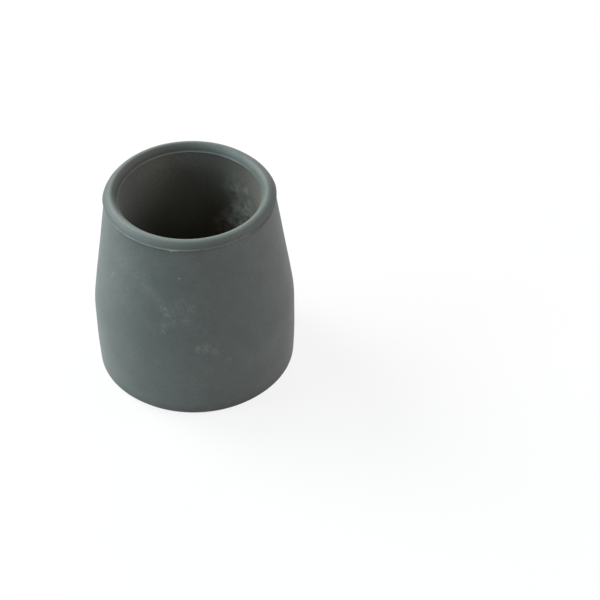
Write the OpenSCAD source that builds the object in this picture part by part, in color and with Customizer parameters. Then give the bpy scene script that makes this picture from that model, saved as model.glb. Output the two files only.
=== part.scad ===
// Push-on rubber tip for a walking aid: a lip with a narrow crest above a tapered body,
// a blind socket that grips the tube, and a tread of concentric rings.
// Turned about +Z, standing on its tread, with the origin at the centre of the ground face.

/* [Socket] */
// Inside diameter of the socket, for a tube of 1 1/8 inch
socket_d = 28.6; // [22:0.1:32]
// Depth of the socket below the crest of the lip
socket_depth = 33; // [24:0.5:36]
// Radius between the wall of the socket and its floor
socket_floor_r = 2; // [0.5:0.1:4]
// Widening of the socket at its mouth, on the radius
mouth_ease = 0.35; // [0.1:0.05:0.6]
// Height of the part of the socket that widens
mouth_h = 4; // [2:0.5:6]

/* [Lip] */
// Radius of the crest
crest_r = 0.6; // [0.4:0.05:0.8]
// Width of the inner side of the lip, from the mouth to the crest
lip_in_w = 1.25; // [0.9:0.05:1.5]
// Drop from the crest to the edge of the mouth
lip_in_drop = 1.35; // [1.1:0.05:1.5]
// Angle up to which the crest turns before the inner side begins
lip_in_a = 122; // [105:1:126]
// Width of the outer side of the lip, from the crest to the moulding line
lip_out_w = 1.6; // [1.2:0.05:2]
// Drop from the crest to the moulding line round the lip
lip_drop = 1.2; // [0.9:0.05:1.4]
// Angle from which the crest turns after the outer side ends
lip_out_a = 75; // [65:1:85]
// Overhang of the lip past the top of the taper
lip_overhang = 0.25; // [0.1:0.05:0.6]

/* [Body] */
// Overall height, from the ground to the crest of the lip
height = 43.5; // [41:0.1:60]
// Diameter of the upright band, the widest part
body_d = 42.1; // [38:0.1:50]
// Height where the taper would meet the upright band
shoulder_z = 16.5; // [15:0.1:22]
// Radius that softens the shoulder
shoulder_r = 30; // [5:1:50]
// Height where the lower wall becomes upright
foot_h = 9; // [6:0.5:12]
// Radius of the lower wall, which draws in towards the ground
foot_r = 120; // [40:5:200]

/* [Ground edge] */
// Width of the slanted band between wall and ground, across the radius
edge_run = 0.75; // [0.3:0.05:1.5]
// Height of the slanted band
edge_rise = 0.9; // [0.3:0.05:1.5]

/* [Tread] */
// Diameter of the central boss
boss_d = 9.5; // [8.5:0.1:11]
// Width of the inner groove, round the boss
inner_groove_w = 3.3; // [2:0.1:4]
// Width of the raised ring between the grooves
ring_w = 3.65; // [2:0.05:5]
// Width of the outer groove
outer_groove_w = 2.8; // [2:0.1:4]
// Depth of both grooves
groove_depth = 2.6; // [1.5:0.1:3.5]
// Radius in the corners at the bottom of a groove
groove_floor_r = 0.8; // [0.3:0.1:0.9]
// Radius on the edges of the rings and of the boss
tread_edge_r = 0.35; // [0.15:0.05:0.5]
// Diameter of the blind hole in the boss
hole_d = 5.8; // [4:0.1:6.5]
// Depth of the blind hole
hole_depth = 6.5; // [4:0.1:7]

/* [Hidden] */
$fn = 180;
// Length by which a cut runs past the surface that it opens
past = 1;
// Largest gap between a drawn arc and the straight runs that stand for it
arc_gap = 0.004;

socket_r = socket_d / 2;
body_r = body_d / 2;

// The lip: the centre of its crest, its moulding line and the edge of the mouth
mouth_r = socket_r + mouth_ease;
crest_c = [mouth_r + lip_in_w, height - crest_r];
lip_edge = [crest_c.x + lip_out_w, height - lip_drop];
mouth_edge = [mouth_r, height - lip_in_drop];
neck_r = lip_edge.x - lip_overhang;
bore_z = mouth_edge.y - mouth_h;

// The sides of the lip: arcs that touch the crest and end at the moulding line and at the mouth
out_r = crest_r + set_back(lip_out_a, lip_edge);
out_c = crest_c - set_back(lip_out_a, lip_edge) * [cos(lip_out_a), sin(lip_out_a)];
in_r = crest_r + set_back(lip_in_a, mouth_edge);
in_c = crest_c - set_back(lip_in_a, mouth_edge) * [cos(lip_in_a), sin(lip_in_a)];

// The shoulder's arc is tangent to the upright band and to the taper
taper_a = atan2(body_r - neck_r, lip_edge.y - shoulder_z);
shoulder_c = [body_r - shoulder_r, shoulder_z - shoulder_r * tan(taper_a / 2)];

// The foot's arc is tangent to the upright band and ends at the slanted band
foot_c = [body_r - foot_r, foot_h];
edge_a = -asin((foot_h - edge_rise) / foot_r);
face_r = foot_c.x + foot_r * cos(edge_a) - edge_run;

// Radii of the tread, from the boss outwards
boss_r = boss_d / 2;
ring_r = boss_r + inner_groove_w + ring_w;

// Distance from the crest's centre back to that of an arc that touches the crest at angle a and ends at p
function set_back(a, p) =
    let (d = p - crest_c)
    (d * d - pow(crest_r, 2)) / (2 * (crest_r - d * [cos(a), sin(a)]));

// Angle, from 0 to 360, at which p lies as seen from c
function bearing(c, p) = (atan2(p.y - c.y, p.x - c.x) + 360) % 360;

// Points of an arc round c, from angle a to angle b, without the first one
function arc(c, r, a, b) =
    let (steps = ceil(abs(b - a) / (2 * acos(1 - arc_gap / r))))
    [for (i = [1:steps]) let (t = a + (b - a) * i / steps) c + r * [cos(t), sin(t)]];

// Half section of the body and its lip, solid up to where the socket begins to widen
module body_section() {
    polygon(concat(
        [[0, 0], [face_r, 0], [face_r + edge_run, edge_rise]],
        arc(foot_c, foot_r, edge_a, 0),
        [[body_r, shoulder_c.y]],
        arc(shoulder_c, shoulder_r, 0, taper_a),
        [[neck_r, lip_edge.y], lip_edge],
        arc(out_c, out_r, bearing(out_c, lip_edge), lip_out_a),
        arc(crest_c, crest_r, lip_out_a, lip_in_a),
        arc(in_c, in_r, lip_in_a, bearing(in_c, mouth_edge)),
        [[socket_r, bore_z], [0, bore_z]]
    ));
}

// Half section of a cut of radius r that opens at y = 0 and goes up, with a rounded corner at its floor
module cut_section(r, depth, floor_r) {
    translate([0, -past]) square([r, past + depth - floor_r]);
    translate([0, depth - floor_r]) square([r - floor_r, floor_r]);
    intersection() {
        translate([r - floor_r, depth - floor_r]) circle(floor_r);
        translate([r - floor_r, depth - floor_r]) square(floor_r + past);
    }
}

// Half section of a cut in the tread, with a rounded edge at its mouth
module tread_cut_section(r, depth, floor_r) {
    cut_section(r, depth, floor_r);
    difference() {
        translate([r, -past]) square([tread_edge_r, past + tread_edge_r]);
        translate([r + tread_edge_r, tread_edge_r]) circle(tread_edge_r);
    }
}

// Section of a groove of width w whose inner wall is at radius r
module groove_section(r, w) {
    translate([r + w / 2, 0])
        for (side = [0, 1]) mirror([side, 0])
            tread_cut_section(w / 2, groove_depth, groove_floor_r);
}

module cane_tip() {
    color("#5d6665") rotate_extrude() difference() {
        body_section();
        translate([0, bore_z]) mirror([0, 1])
            cut_section(socket_r, bore_z - height + socket_depth, socket_floor_r);
        groove_section(boss_r, inner_groove_w);
        groove_section(ring_r, outer_groove_w);
        tread_cut_section(hole_d / 2, hole_depth, tread_edge_r);
    }
}

cane_tip();
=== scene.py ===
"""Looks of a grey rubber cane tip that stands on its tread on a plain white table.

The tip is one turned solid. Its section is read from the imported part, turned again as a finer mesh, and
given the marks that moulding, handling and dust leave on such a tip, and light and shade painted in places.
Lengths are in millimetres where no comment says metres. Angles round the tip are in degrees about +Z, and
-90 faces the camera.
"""
import math

import bpy
import numpy as np
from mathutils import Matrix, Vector, noise


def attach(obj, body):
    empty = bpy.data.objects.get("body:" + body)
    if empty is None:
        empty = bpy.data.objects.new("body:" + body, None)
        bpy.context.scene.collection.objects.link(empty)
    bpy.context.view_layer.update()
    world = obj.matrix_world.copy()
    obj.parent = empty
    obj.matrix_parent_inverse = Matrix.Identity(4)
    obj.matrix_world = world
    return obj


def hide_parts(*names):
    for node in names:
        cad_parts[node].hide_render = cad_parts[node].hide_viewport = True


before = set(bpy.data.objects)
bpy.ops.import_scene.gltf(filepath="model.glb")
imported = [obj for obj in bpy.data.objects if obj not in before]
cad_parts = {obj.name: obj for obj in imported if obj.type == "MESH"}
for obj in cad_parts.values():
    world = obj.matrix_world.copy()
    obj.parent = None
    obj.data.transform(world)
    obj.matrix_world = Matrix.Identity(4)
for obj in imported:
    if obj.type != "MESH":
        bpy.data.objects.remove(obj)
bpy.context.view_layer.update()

MM = 0.001

# Camera, as the photograph was taken: the place of the tip's ground centre in camera space
VIEW_PITCH = math.radians(41.85)
VIEW_RIGHT = -22.2
VIEW_DOWN = 10.13
VIEW_AHEAD = 390.5
IMAGE_SIDE = 600
FOCAL_PIXELS = 1800
SENSOR = 36.0
# Nearest depth that the camera shows, in metres
CLIP_START = 0.01

# Turned mesh: points around, longest and shortest step along the section, and the angle of a sharp edge
STEPS_AROUND = 320
LONGEST_STEP = 0.9
SHORTEST_STEP = 0.1
SHARP_ANGLE = math.radians(28)
# How far from y = 0 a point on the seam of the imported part's turned faces may lie, in metres
SEAM_SLACK = 1e-7

# Radius of the socket wall, and how much less still counts as wall
SOCKET_R = 14.3
SOCKET_SLACK = 0.01

# Corners of the section that carry a thin line, as radius and height, and half the width of the line
LIP_CORNER = (17.5, 42.3)
LIP_LINE_HALF = 0.12
MOUTH_CORNER = (14.65, 42.15)
MOUTH_LINE_HALF = 0.2
# Other points of the section keep this many half widths away from the middle of a line
LINE_CLEARANCE = 1.5

# Raggedness along a line round the tip: how fast each of its waves changes, and the wave's share
RAGGED_WAVES = ((4, 1.0), (17, 0.6))

# Moulding line: the thin fin of rubber that the mould leaves under the lip. Its reach outwards, its sag and
# its paleness grow with its strength, which is given at some angles, and its drop is the same all round
FIN_REACH = 0.18
FIN_SAG = 0.16
FIN_DROP = 0.08
# The fin's paleness is partly dust and partly a painted highlight on its thin edge
FIN_PALE_AND_HIGHLIGHT = 0.65
FIN_ANGLES = (-180, -150, -138, -128, -123, -112, -100, -96, -90, -75, -60, -51, -42, 0, 90, 180)
FIN_STRENGTHS = (0.4, 0.45, 0.7, 0.75, 0.5, 0.8, 1.5, 1.3, 0.8, 0.8, 0.35, 0.55, 0.1, 0.05, 0.35, 0.4)
# How its strength strays: seed, mean, swing, least and most
FIN_STRAY = (0.5, 0.85, 0.5, 0.3, 1.3)

# Mouth line: the fine rib where the core met the rest of the mould, and how pale it is at some angles
RIB_REACH = 0.13
RIB_SAG = 0.2
RIB_ANGLES = (-180, -90, 0, 45, 65, 90, 130, 160, 180)
RIB_PALES = (0.3, 0.5, 0.1, 0.2, 0.6, 0.75, 0.7, 0.35, 0.3)
# How its strength strays, in the same terms
RIB_STRAY = (5.5, 0.9, 0.2, 0.3, 1.2)

# The lip is a little out of round: how far it lies inwards at some angles, from nothing at the first height
# to all of it at the second
ROUND_ANGLES = (-180, -175, 10, 25, 50, 75, 115, 150, 165, 180)
ROUND_INWARD = (0.06, 0, 0, 0.2, 0.36, 0.26, 0.1, 0.2, 0.17, 0.06)
ROUND_HEIGHTS = (28.0, 41.0)

# The mouth of the blind hole in the tread is torn: largest radius and height of the torn edge, how far it
# strays, and the seed of that
HOLE_EDGE_R = 3.3
HOLE_EDGE_H = 0.6
HOLE_FRAY = 0.2
HOLE_SEED = 9.5

# Slow unevenness of the outer wall: size, wavelength, and how much finer and smaller its second wave is
WOBBLE = 0.035
WOBBLE_LENGTH = 9.0
WOBBLE_FINER = 2.3
WOBBLE_SMALLER = 0.4
# Heights over which it fades out towards the ground and towards the lip, and the least radius of that wall
WOBBLE_GROUND = 3.0
WOBBLE_LIP = 2.0
OUTER_WALL_R = 17.2

# Rubber: two tones of its own colour, and what lies on it
TONE_DEEP = (0.086, 0.099, 0.096, 1)
TONE_PALE = (0.104, 0.119, 0.115, 1)
DUST = (0.34, 0.36, 0.35, 1)
SMEAR = (0.60, 0.55, 0.51, 1)
# Dark speckle, painted shade at the foot, and the darkening in the grooves
STAIN_AND_SHADE = (0.048, 0.048, 0.042, 1)
# The lip: its crest is rubbed pale, with a painted highlight on its front half, its outer side is dull, with
# painted cool light away from the middle and painted shade on the left, its inner side has painted shade,
# and painted shade lies in the corner under it
CREST_RUB_AND_HIGHLIGHT = (0.15, 0.175, 0.17, 1)
LIP_SIDE = (0.091, 0.104, 0.090, 1)
LIP_SIDE_COOL_LIGHT = (0.078, 0.095, 0.090, 1)
LIP_SIDE_LEFT_SHADE = (0.078, 0.089, 0.087, 1)
LIP_INSIDE_SHADE = (0.069, 0.079, 0.074, 1)
SHADE_UNDER_LIP = (0.022, 0.028, 0.025, 1)
# The socket: paler at the back and on the left, partly powder and partly painted light, plainer and warmer
# on the right, and painted shade at its bottom
SOCKET_BACK_POWDER_AND_LIGHT = (0.226, 0.236, 0.218, 1)
SOCKET_LEFT_POWDER_AND_LIGHT = (0.172, 0.187, 0.190, 1)
SOCKET_RIGHT = (0.121, 0.106, 0.093, 1)
SOCKET_DEEP_SHADE = (0.068, 0.068, 0.035, 1)
SOCKET_SPECKLE = (0.06, 0.058, 0.05, 1)

# Zones of these colours. Each band of a zone names a coordinate, the value at which the zone starts and the
# one at which it is full, and, where it goes on past its start, how much of it is left there
# Painted shade round the foot, darkest at the ground; and darker in the grooves and the hole of the tread
SHADE_AT_FOOT = [("z", 3.4, 0.0), ("radius", 19.6, 20.2)]
GROOVES = [("z", 0.2, 2.0), ("z", 8.0, 7.0), ("radius", 15.5, 15.0)]
ON_LIP_SIDE = [("z", 42.2, 42.4), ("radius", 16.3, 16.8)]
# Painted cool light on the lip's outer side away from the middle, and painted shade on its left
COOL_LIGHT_ON_LIP_SIDES = [("aside", 4.0, 11.0)]
SHADE_ON_LIP_LEFT = [("x", -8.0, -13.0)]
# Painted shade under the lip, a little all round and strongest on the right
SHADED_BELOW_LIP = [("z", 40.9, 41.8), ("z", 42.4, 42.3), ("radius", 16.4, 16.9), ("x", 11.0, 16.5, 0.2)]
# Painted shade on the lip's inner side, most on the left and less at the back
SHADED_IN_LIP = [("z", 42.1, 42.3), ("radius", 16.2, 15.5), ("x", 7.0, -6.0)]
# Painted highlight, with rubbing, on the front half of the crest
RUB_AND_HIGHLIGHT_ON_CREST = [("z", 42.7, 43.2), ("radius", 16.7, 16.1), ("y", 2.0, -14.0)]
IN_SOCKET = [("z", 42.25, 42.0), ("z", 9.5, 10.4), ("radius", 14.8, 14.6)]
# Where the socket wall is paler with powder and painted light, and darker with painted shade towards the
# bottom
SOCKET_BACKWARDS = [("x", 6.5, -4.0)]
SOCKET_LEFTWARDS = [("x", -6.0, -13.0)]
SOCKET_DOWNWARDS = [("z", 34.0, 14.0)]

# Grains: waves per millimetre, detail and roughness; then the values between which a mark of it comes in
MOTTLE_GRAIN = (0.22, 6.0, 0.75)
MOTTLE_RANGE = (0.3, 0.7)
SPECKLE_GRAIN = (2.6, 2.0, 0.6)
SPECKLE_RANGE = (0.3, 0.7)
SMEAR_GRAIN = (0.5, 4.0, 0.6)
SMEAR_RANGE = (0.3, 0.67)
POWDER_GRAIN = (2.7, 3.0, 0.75)
POWDER_RANGE = (0.4, 0.66)
# How strongly painted shade at the foot, darkening in the grooves, speckle and dust cover what is under them
FOOT_SHADE_AND_GROOVE_COVER = 0.55
SPECKLE_COVER = 0.24
SOCKET_SPECKLE_COVER = 0.35
DUST_COVER = 0.65

# Skin of the rubber: grain, range of roughness, strength and depth of its bumps, and a faint sheen
SKIN_GRAIN = (2.2, 4.0, 0.6)
SKIN_SMOOTHEST = 0.5
SKIN_ROUGHEST = 0.68
BUMP_STRENGTH = 0.35
BUMP_DEPTH = 0.03
SHEEN = 0.1
SHEEN_ROUGHNESS = 0.4

# Dusty patches on the wall and the lip: angle, height, reach, strength
PATCHES = [
    (-104.5, 28.0, 1.5, 0.7), (-102.4, 26.6, 1.5, 0.75), (-100.1, 25.0, 1.4, 0.6), (-104.3, 24.2, 1.5, 0.65),
    (-105.5, 22.6, 1.2, 0.45), (-94.5, 29.4, 2.2, 0.4), (-88.0, 28.2, 1.9, 0.45), (-91.4, 25.6, 1.8, 0.4),
    (-97.5, 27.0, 4.5, 0.22), (-85.3, 18.7, 1.6, 0.5), (-80.9, 18.8, 1.8, 0.55), (-75.9, 17.7, 1.4, 0.45),
    (-68.8, 14.8, 1.2, 0.35), (-116.0, 32.0, 2.6, 0.32), (-111.9, 31.0, 2.2, 0.32), (-108.0, 29.9, 1.9, 0.3),
    (-124.3, 34.0, 4.5, 0.18), (-133.0, 35.7, 6.0, 0.2), (-139.0, 29.0, 7.0, 0.2), (-127.8, 15.0, 6.0, 0.14),
    (58.0, 24.0, 4.0, 0.4), (150.0, 15.0, 3.0, 0.4), (10.0, 28.0, 3.0, 0.4), (58.0, 43.2, 2.5, 0.3),
    (42.0, 43.2, 2.0, 0.2), (-53.0, 42.9, 6.0, 0.3)]
# Single pale specks, in the same terms
SPECKS = [
    (-94.7, 35.5, 0.3, 1.0), (-145.6, 29.7, 0.5, 0.4), (-144.6, 30.3, 0.5, 0.5), (-143.6, 31.0, 0.5, 0.4),
    (-116.6, 31.0, 0.25, 0.5), (-99.4, 41.6, 0.35, 0.9), (-142.2, 36.4, 0.25, 0.7), (97.0, 33.0, 0.24, 0.8)]
# Pale smears on the socket wall, where the tube rubbed, in the same terms
SMEARS = [
    (39.4, 36.1, 2.0, 0.3), (46.8, 36.9, 1.8, 0.3), (34.1, 33.0, 2.5, 0.3), (51.5, 35.0, 5.0, 0.3),
    (54.5, 29.2, 1.8, 0.9), (41.5, 28.6, 6.0, 0.85), (46.0, 25.0, 6.8, 1.0), (57.0, 25.3, 4.6, 0.85),
    (66.0, 23.5, 3.5, 0.5), (-120.0, 33.0, 5.0, 0.4)]

# Floor: its side in metres, its own colour and roughness, and how much of what is seen of it is plain white
FLOOR_SIDE = 4
FLOOR_PALE = (0.9, 0.9, 0.9, 1)
FLOOR_ROUGHNESS = 0.9
FLOOR_GLOW = 0.86
WHITE = (1, 1, 1, 1)

# Light from all around, then soft round lamps: distance and width in metres
AMBIENT = (1.0, 0.9, 0.88, 1)
AMBIENT_LEVEL = 0.12
LAMP_FAR = 1.15
LAMP_WIDTH = 0.7
# Each lamp: angle, degrees above the floor, watts, colour
LAMPS = {
    "key_left_back": (150, 40, 14.2, (0.95, 1.0, 0.96)),
    "left": (190, 30, 7.0, (0.68, 1.0, 1.06)),
    "right": (0, 30, 3.4, (1.08, 1.0, 0.96)),
    "back": (90, 40, 2.8, (0.95, 1.0, 0.96)),
}


def turned_section(node):
    """Radius and height of each point of the node's half section, from the hole in the tread to the socket.

    The points lie on the seam of the turned faces, at y = 0. Flat faces have no seam, so where a chain of
    seam edges ends, the section goes on to the nearest point at the same height."""
    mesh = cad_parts[node].data
    place = [(round(v.co.x / MM, 4), round(v.co.z / MM, 4)) for v in mesh.vertices]
    on_seam = [abs(v.co.y) < SEAM_SLACK and v.co.x > 0 for v in mesh.vertices]
    linked = {place[i]: set() for i, on in enumerate(on_seam) if on}
    for edge in mesh.edges:
        a, b = edge.vertices
        if on_seam[a] and on_seam[b] and place[a] != place[b]:
            linked[place[a]].add(place[b])
            linked[place[b]].add(place[a])
    here = min(linked)
    section = [(0.0, here[1])]
    unused = set(linked)
    while here:
        section.append(here)
        unused.discard(here)
        near = linked[here] & unused or {p for p in unused if p[1] == here[1]}
        here = min(near, key=lambda p: math.dist(p, section[-1])) if near else None
    return section + [(0.0, section[-1][1])]


def even_section(section):
    """The section with crowded points dropped and long runs divided."""
    points = [section[0]]
    for point in section[1:]:
        start = points[-1]
        run = math.dist(start, point)
        steps = math.ceil(run / LONGEST_STEP) if run > SHORTEST_STEP else 0
        for i in range(1, steps + 1):
            points.append(tuple(a + (b - a) * i / steps for a, b in zip(start, point)))
    return points


def with_line(section, corner, half):
    """The section with points close before and after a corner, so that a thin line can stand on it."""
    index = min(range(len(section)), key=lambda i: math.dist(section[i], corner))
    middle = section[index]
    before = [p for p in section[:index] if math.dist(p, middle) > LINE_CLEARANCE * half]
    after = [p for p in section[index + 1:] if math.dist(p, middle) > LINE_CLEARANCE * half]
    sides = []
    for other in (before[-1], after[0]):
        part = half / math.dist(middle, other)
        sides.append(tuple(m + (o - m) * part for m, o in zip(middle, other)))
    return before + [sides[0], middle, sides[1]] + after


def row_of(section, corner):
    """The row of the turned mesh that a corner of the section makes."""
    return int(np.argmin(np.hypot(*(section[1:-1] - corner).T)))


def ragged(angle, seed):
    """A rough number from about -1 to 1 for each angle, the same in each run, that closes round the tip."""
    return np.array([sum(share * noise.noise((rate * math.cos(a), rate * math.sin(a), seed))
                         for rate, share in RAGGED_WAVES) for a in angle])


def stray(angle, seed, mean, swing, least, most):
    """A strength for each angle that strays about its mean."""
    return np.clip(mean + swing * ragged(angle, seed), least, most)


def wobble(radius, height, angle):
    """Slow unevenness of the outer wall, inwards on the whole, fading out at the tread and the lip."""
    wall = np.clip(height / WOBBLE_GROUND, 0, 1) * np.clip((LIP_CORNER[1] - height) / WOBBLE_LIP, 0, 1)
    wall *= radius > OUTER_WALL_R
    swell = np.zeros_like(radius)
    for i, j in np.argwhere(wall > 0):
        r, z, a = radius[i, j], height[i, j], angle[j]
        place = Vector((r * math.cos(a), r * math.sin(a), z)) / WOBBLE_LENGTH
        swell[i, j] = noise.noise(place) + WOBBLE_SMALLER * noise.noise(WOBBLE_FINER * place)
    return WOBBLE * wall * (swell - 1)


def out_of_round(height, degrees):
    """How far each point lies inwards because the lip is out of round."""
    return np.interp(height, ROUND_HEIGHTS, (0, 1)) * np.interp(degrees, ROUND_ANGLES, ROUND_INWARD)


def draw_lines(section, angle, degrees, radius, height):
    """Draws the moulding line and the mouth line out of the surface, and tells how pale each point is."""
    lip, mouth = row_of(section, LIP_CORNER), row_of(section, MOUTH_CORNER)
    fin = np.interp(degrees, FIN_ANGLES, FIN_STRENGTHS) * stray(angle, *FIN_STRAY)
    rib = stray(angle, *RIB_STRAY)
    radius[lip] += FIN_REACH * fin
    height[lip] -= FIN_DROP + FIN_SAG * fin
    radius[mouth] -= RIB_REACH * rib
    height[mouth] -= RIB_SAG
    pale = np.zeros_like(radius)
    # The fin's paleness is partly dust and partly a painted highlight on its thin edge
    pale[lip] = fin * FIN_PALE_AND_HIGHLIGHT
    pale[mouth] = rib * np.interp(degrees, RIB_ANGLES, RIB_PALES)
    return pale


def turned_faces(rows):
    """Quads between neighbouring rows, and fans of triangles that close both ends on the axis."""
    ring = range(STEPS_AROUND)
    faces = [(i * STEPS_AROUND + j, i * STEPS_AROUND + (j + 1) % STEPS_AROUND,
              (i + 1) * STEPS_AROUND + (j + 1) % STEPS_AROUND, (i + 1) * STEPS_AROUND + j)
             for i in range(rows - 1) for j in ring]
    bottom, top, last = rows * STEPS_AROUND, rows * STEPS_AROUND + 1, (rows - 1) * STEPS_AROUND
    faces += [(bottom, (j + 1) % STEPS_AROUND, j) for j in ring]
    faces += [(top, last + j, last + (j + 1) % STEPS_AROUND) for j in ring]
    return faces


def turn(name, section):
    """A closed mesh of the half section turned about +Z, with the moulding marks in its surface."""
    angle = np.linspace(0, 2 * math.pi, STEPS_AROUND, endpoint=False)
    degrees = np.degrees((angle + math.pi) % (2 * math.pi) - math.pi)
    rows = section[1:-1]
    radius = np.repeat(rows[:, :1], STEPS_AROUND, axis=1)
    height = np.repeat(rows[:, 1:], STEPS_AROUND, axis=1)
    radius += wobble(radius, height, angle)
    radius -= out_of_round(height, degrees)
    torn = (rows[:, 0] < HOLE_EDGE_R) & (rows[:, 1] < HOLE_EDGE_H)
    radius[torn] += HOLE_FRAY * ragged(angle, HOLE_SEED)
    pale = draw_lines(section, angle, degrees, radius, height)

    vertices = np.stack([radius * np.cos(angle), radius * np.sin(angle), height], axis=-1).reshape(-1, 3)
    ends = [(0, 0, section[0][1]), (0, 0, section[-1][1])]
    mesh = bpy.data.meshes.new(name)
    mesh.from_pydata(np.vstack([vertices, ends]) * MM, [], turned_faces(len(rows)), shade_flat=False)
    mesh.set_sharp_from_angle(angle=SHARP_ANGLE)
    mesh.attributes.new("line", "FLOAT", "POINT").data.foreach_set("value", np.append(pale, [0, 0]))
    mesh.update()
    piece = bpy.data.objects.new(name, mesh)
    bpy.context.collection.objects.link(piece)
    return piece


def put(tree, kind, inputs, **settings):
    """A new shader node; each input, by name or number, is set to a value or wired to a socket."""
    node = tree.nodes.new("ShaderNode" + kind)
    for name, value in settings.items():
        setattr(node, name, value)
    for key, value in inputs.items():
        if isinstance(value, bpy.types.NodeSocket):
            tree.links.new(value, node.inputs[key])
        else:
            node.inputs[key].default_value = value
    return node


def fade(tree, value, start, end, least=0.0):
    """The least amount where the value is at start and 1 where it is at end, smooth between them."""
    inputs = {"Value": value, "From Min": start, "From Max": end, "To Min": least}
    return put(tree, "MapRange", inputs, interpolation_type="SMOOTHSTEP").outputs["Result"]


def product(tree, a, b):
    """Two amounts multiplied, so that a mark shows only where both do."""
    return put(tree, "Math", {0: a, 1: b}, operation="MULTIPLY").outputs[0]


def larger(tree, a, b):
    """The larger of two amounts, so that a mark shows where either does."""
    return put(tree, "Math", {0: a, 1: b}, operation="MAXIMUM").outputs[0]


def paint(tree, amount, under, over):
    """One colour laid over another; a Mix node has its colours at inputs 6 and 7 and at output 2."""
    return put(tree, "Mix", {0: amount, 6: under, 7: over}, data_type="RGBA").outputs[2]


def grain(tree, place, texture):
    """Cloudy noise of one of the grains named above."""
    scale, detail, roughness = texture
    inputs = {"Vector": place, "Scale": scale, "Detail": detail, "Roughness": roughness}
    return put(tree, "TexNoise", inputs).outputs[0]


def coordinates(tree):
    """The place that is shaded, in millimetres: as a vector, along each axis, to either side and from +Z."""
    origin = put(tree, "TexCoord", {}).outputs["Object"]
    place = put(tree, "VectorMath", {0: origin, "Scale": 1 / MM}, operation="SCALE").outputs["Vector"]
    x, y, z = put(tree, "SeparateXYZ", {0: place}).outputs
    aside = put(tree, "Math", {0: x}, operation="ABSOLUTE").outputs[0]
    flat = put(tree, "CombineXYZ", {0: x, 1: y}).outputs[0]
    radius = put(tree, "VectorMath", {0: flat}, operation="LENGTH").outputs["Value"]
    return {"place": place, "x": x, "y": y, "z": z, "aside": aside, "radius": radius}


def zone(tree, at, bands):
    """How far a place lies in a zone, which is where all of its bands are."""
    amount = 1.0
    for axis, *limits in bands:
        amount = product(tree, amount, fade(tree, at[axis], *limits))
    return amount


def wall_point(section, degrees, height, inside=False):
    """The point of the outer wall, or of the socket wall, at an angle and a height."""
    top = int(np.argmax(section[:, 1]))
    rows = section[top:][::-1] if inside else section[:top]
    wall = rows[rows[:, 0] > SOCKET_R - SOCKET_SLACK]
    wall = wall[np.argsort(wall[:, 1])]
    r = np.interp(height, wall[:, 1], wall[:, 0])
    a = math.radians(degrees)
    return r * math.cos(a), r * math.sin(a), height


def marked(tree, place, section, marks, inside=False):
    """How strongly a place is covered by a list of round soft-edged marks."""
    cover = 0.0
    for degrees, height, reach, strength in marks:
        centre = wall_point(section, degrees, height, inside)
        away = put(tree, "VectorMath", {0: place, 1: centre}, operation="DISTANCE").outputs["Value"]
        cover = larger(tree, cover, product(tree, fade(tree, away, reach, 0.0), strength))
    return cover


def worn_outside(tree, at, colour):
    """Painted shade at the foot and about the lip, darker grooves, and painted light and rubbing on the lip.
    """
    # Painted shade round the foot, and darker in the grooves
    foot_shade_and_dark_grooves = larger(tree, zone(tree, at, SHADE_AT_FOOT), zone(tree, at, GROOVES))
    colour = paint(tree, product(tree, foot_shade_and_dark_grooves, FOOT_SHADE_AND_GROOVE_COVER), colour, STAIN_AND_SHADE)
    # The lip's outer side: painted cool light to the sides and painted shade on the left
    side = paint(tree, zone(tree, at, COOL_LIGHT_ON_LIP_SIDES), LIP_SIDE, LIP_SIDE_COOL_LIGHT)
    side = paint(tree, zone(tree, at, SHADE_ON_LIP_LEFT), side, LIP_SIDE_LEFT_SHADE)
    colour = paint(tree, zone(tree, at, ON_LIP_SIDE), colour, side)
    # Painted shade under the lip
    colour = paint(tree, zone(tree, at, SHADED_BELOW_LIP), colour, SHADE_UNDER_LIP)
    # Painted shade on the lip's inner side
    colour = paint(tree, zone(tree, at, SHADED_IN_LIP), colour, LIP_INSIDE_SHADE)
    # The front half of the crest: rubbed pale and a painted highlight
    return paint(tree, zone(tree, at, RUB_AND_HIGHLIGHT_ON_CREST), colour, CREST_RUB_AND_HIGHLIGHT)


def socket_wall(tree, at, section, speckle):
    """The colour of the socket wall, with its speckle and the smears that a tube left. It is paler at the
    back and on the left, partly powder and partly painted light, and painted shade darkens it deep down.
    """
    # Paler at the back and on the left: partly powder, partly painted light
    wall = paint(tree, zone(tree, at, SOCKET_BACKWARDS), SOCKET_RIGHT, SOCKET_BACK_POWDER_AND_LIGHT)
    wall = paint(tree, zone(tree, at, SOCKET_LEFTWARDS), wall, SOCKET_LEFT_POWDER_AND_LIGHT)
    # Painted shade deeper down the socket
    wall = paint(tree, zone(tree, at, SOCKET_DOWNWARDS), wall, SOCKET_DEEP_SHADE)
    wall = paint(tree, product(tree, speckle, SOCKET_SPECKLE_COVER), wall, SOCKET_SPECKLE)
    rubbed = fade(tree, grain(tree, at["place"], SMEAR_GRAIN), *SMEAR_RANGE)
    smear = product(tree, marked(tree, at["place"], section, SMEARS, inside=True), rubbed)
    return paint(tree, smear, wall, SMEAR)


def dusty(tree, place, section, colour):
    """A colour under powdery patches of dust, pale specks and the pale lines of the mould, partly a painted
    highlight on the fin.
    """
    powder = fade(tree, grain(tree, place, POWDER_GRAIN), *POWDER_RANGE)
    dust = product(tree, marked(tree, place, section, PATCHES), powder)
    dust = larger(tree, dust, marked(tree, place, section, SPECKS))
    colour = paint(tree, product(tree, dust, DUST_COVER), colour, DUST)
    # Pale lines of the mould: dust, and on the fin partly a painted highlight
    line = put(tree, "Attribute", {}, attribute_name="line").outputs["Fac"]
    return paint(tree, line, colour, DUST)


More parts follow.
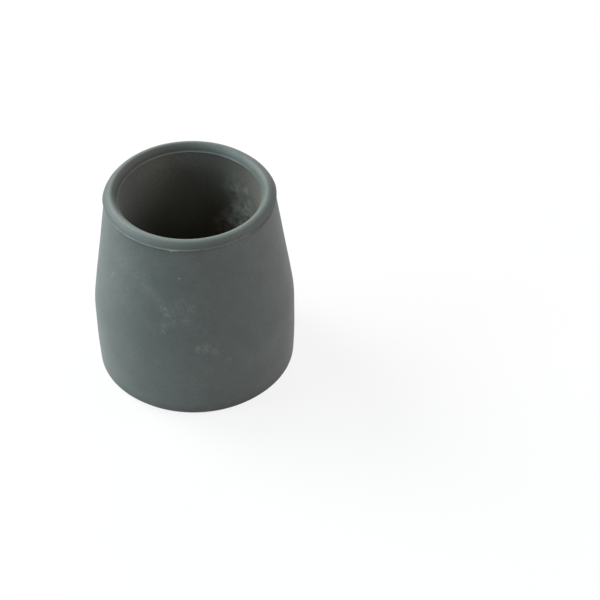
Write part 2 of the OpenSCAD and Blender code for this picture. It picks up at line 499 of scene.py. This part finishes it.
def rubber_colour(tree, at, section):
    """Grey, mottled and speckled, with wear, dust, painted shade and light, and another colour in the
    socket.
    """
    mottle = fade(tree, grain(tree, at["place"], MOTTLE_GRAIN), *MOTTLE_RANGE)
    colour = worn_outside(tree, at, paint(tree, mottle, TONE_DEEP, TONE_PALE))
    speckle = fade(tree, grain(tree, at["place"], SPECKLE_GRAIN), *SPECKLE_RANGE)
    colour = paint(tree, product(tree, speckle, SPECKLE_COVER), colour, STAIN_AND_SHADE)
    colour = paint(tree, zone(tree, at, IN_SOCKET), colour, socket_wall(tree, at, section, speckle))
    return dusty(tree, at["place"], section, colour)


def rubber(section):
    """Matte moulded grey rubber with a fine uneven skin."""
    material = bpy.data.materials.new("rubber_grey")
    material.use_nodes = True
    tree = material.node_tree
    shader = tree.nodes["Principled BSDF"]
    at = coordinates(tree)
    tree.links.new(rubber_colour(tree, at, section), shader.inputs["Base Color"])
    skin = grain(tree, at["place"], SKIN_GRAIN)
    rough = put(tree, "MapRange", {"Value": skin, "To Min": SKIN_SMOOTHEST, "To Max": SKIN_ROUGHEST})
    tree.links.new(rough.outputs["Result"], shader.inputs["Roughness"])
    bump = put(tree, "Bump", {"Height": skin, "Strength": BUMP_STRENGTH, "Distance": BUMP_DEPTH * MM})
    tree.links.new(bump.outputs["Normal"], shader.inputs["Normal"])
    shader.inputs["Sheen Weight"].default_value = SHEEN
    shader.inputs["Sheen Roughness"].default_value = SHEEN_ROUGHNESS
    return material


def seen_directly(tree):
    """1 for rays by which the camera, gloss or glass sees a surface, and 0 for those that light others."""
    path = put(tree, "LightPath", {}).outputs
    straight = larger(tree, path["Is Camera Ray"], path["Is Glossy Ray"])
    return larger(tree, straight, path["Is Transmission Ray"])


def white_stage():
    """A pale floor that the camera sees as white and that keeps a faint shadow."""
    bpy.ops.mesh.primitive_plane_add(size=FLOOR_SIDE)
    floor = bpy.context.object
    floor.name = "floor"
    material = bpy.data.materials.new("floor_white")
    material.use_nodes = True
    tree = material.node_tree
    plain = tree.nodes["Principled BSDF"]
    plain.inputs["Base Color"].default_value = FLOOR_PALE
    plain.inputs["Roughness"].default_value = FLOOR_ROUGHNESS
    glow = put(tree, "Emission", {"Color": WHITE, "Strength": 1.0}).outputs[0]
    share = product(tree, seen_directly(tree), FLOOR_GLOW)
    mixed = put(tree, "MixShader", {0: share, 1: plain.outputs[0], 2: glow}).outputs[0]
    tree.links.new(mixed, tree.nodes["Material Output"].inputs["Surface"])
    floor.data.materials.append(material)


def surroundings():
    """Surroundings that are seen as white and light the tip a little."""
    world = bpy.data.worlds.new("studio")
    bpy.context.scene.world = world
    world.use_nodes = True
    tree = world.node_tree
    soft = tree.nodes["Background"]
    soft.inputs["Color"].default_value = AMBIENT
    soft.inputs["Strength"].default_value = AMBIENT_LEVEL
    white = put(tree, "Background", {"Color": WHITE, "Strength": 1.0}).outputs[0]
    mixed = put(tree, "MixShader", {0: seen_directly(tree), 1: soft.outputs[0], 2: white}).outputs[0]
    tree.links.new(mixed, tree.nodes["World Output"].inputs["Surface"])


def lamps():
    """Soft lamps that point at the tip, the strongest behind it to the left."""
    for name, (turned, raised, watts, colour) in LAMPS.items():
        lamp = bpy.data.lights.new(name, "AREA")
        lamp.shape = "DISK"
        lamp.size = LAMP_WIDTH
        lamp.energy = watts
        lamp.color = colour
        holder = bpy.data.objects.new(name, lamp)
        around, up = math.radians(turned), math.radians(raised)
        across = LAMP_FAR * math.cos(up)
        holder.location = (across * math.cos(around), across * math.sin(around), LAMP_FAR * math.sin(up))
        holder.rotation_euler = (-holder.location).to_track_quat("-Z", "Y").to_euler()
        bpy.context.collection.objects.link(holder)


def camera():
    """The camera of the photograph, which looks along +Y and down."""
    right = Vector((1, 0, 0))
    ahead = Vector((0, math.cos(VIEW_PITCH), -math.sin(VIEW_PITCH)))
    down = Vector((0, -math.sin(VIEW_PITCH), -math.cos(VIEW_PITCH)))
    lens = bpy.data.cameras.new("camera")
    lens.sensor_width = SENSOR
    lens.lens = SENSOR * FOCAL_PIXELS / IMAGE_SIDE
    lens.clip_start = CLIP_START
    holder = bpy.data.objects.new("camera", lens)
    holder.location = -(VIEW_RIGHT * right + VIEW_DOWN * down + VIEW_AHEAD * ahead) * MM
    holder.rotation_euler = (math.pi / 2 - VIEW_PITCH, 0, 0)
    bpy.context.collection.objects.link(holder)
    bpy.context.scene.camera = holder


section = even_section(turned_section("cane_tip"))
section = with_line(section, LIP_CORNER, LIP_LINE_HALF)
section = np.array(with_line(section, MOUTH_CORNER, MOUTH_LINE_HALF))
tip = turn("tip", section)
tip.data.materials.append(rubber(section))
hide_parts("cane_tip")
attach(tip, "root")

white_stage()
surroundings()
lamps()
camera()
bpy.context.scene.view_settings.view_transform = "Standard"
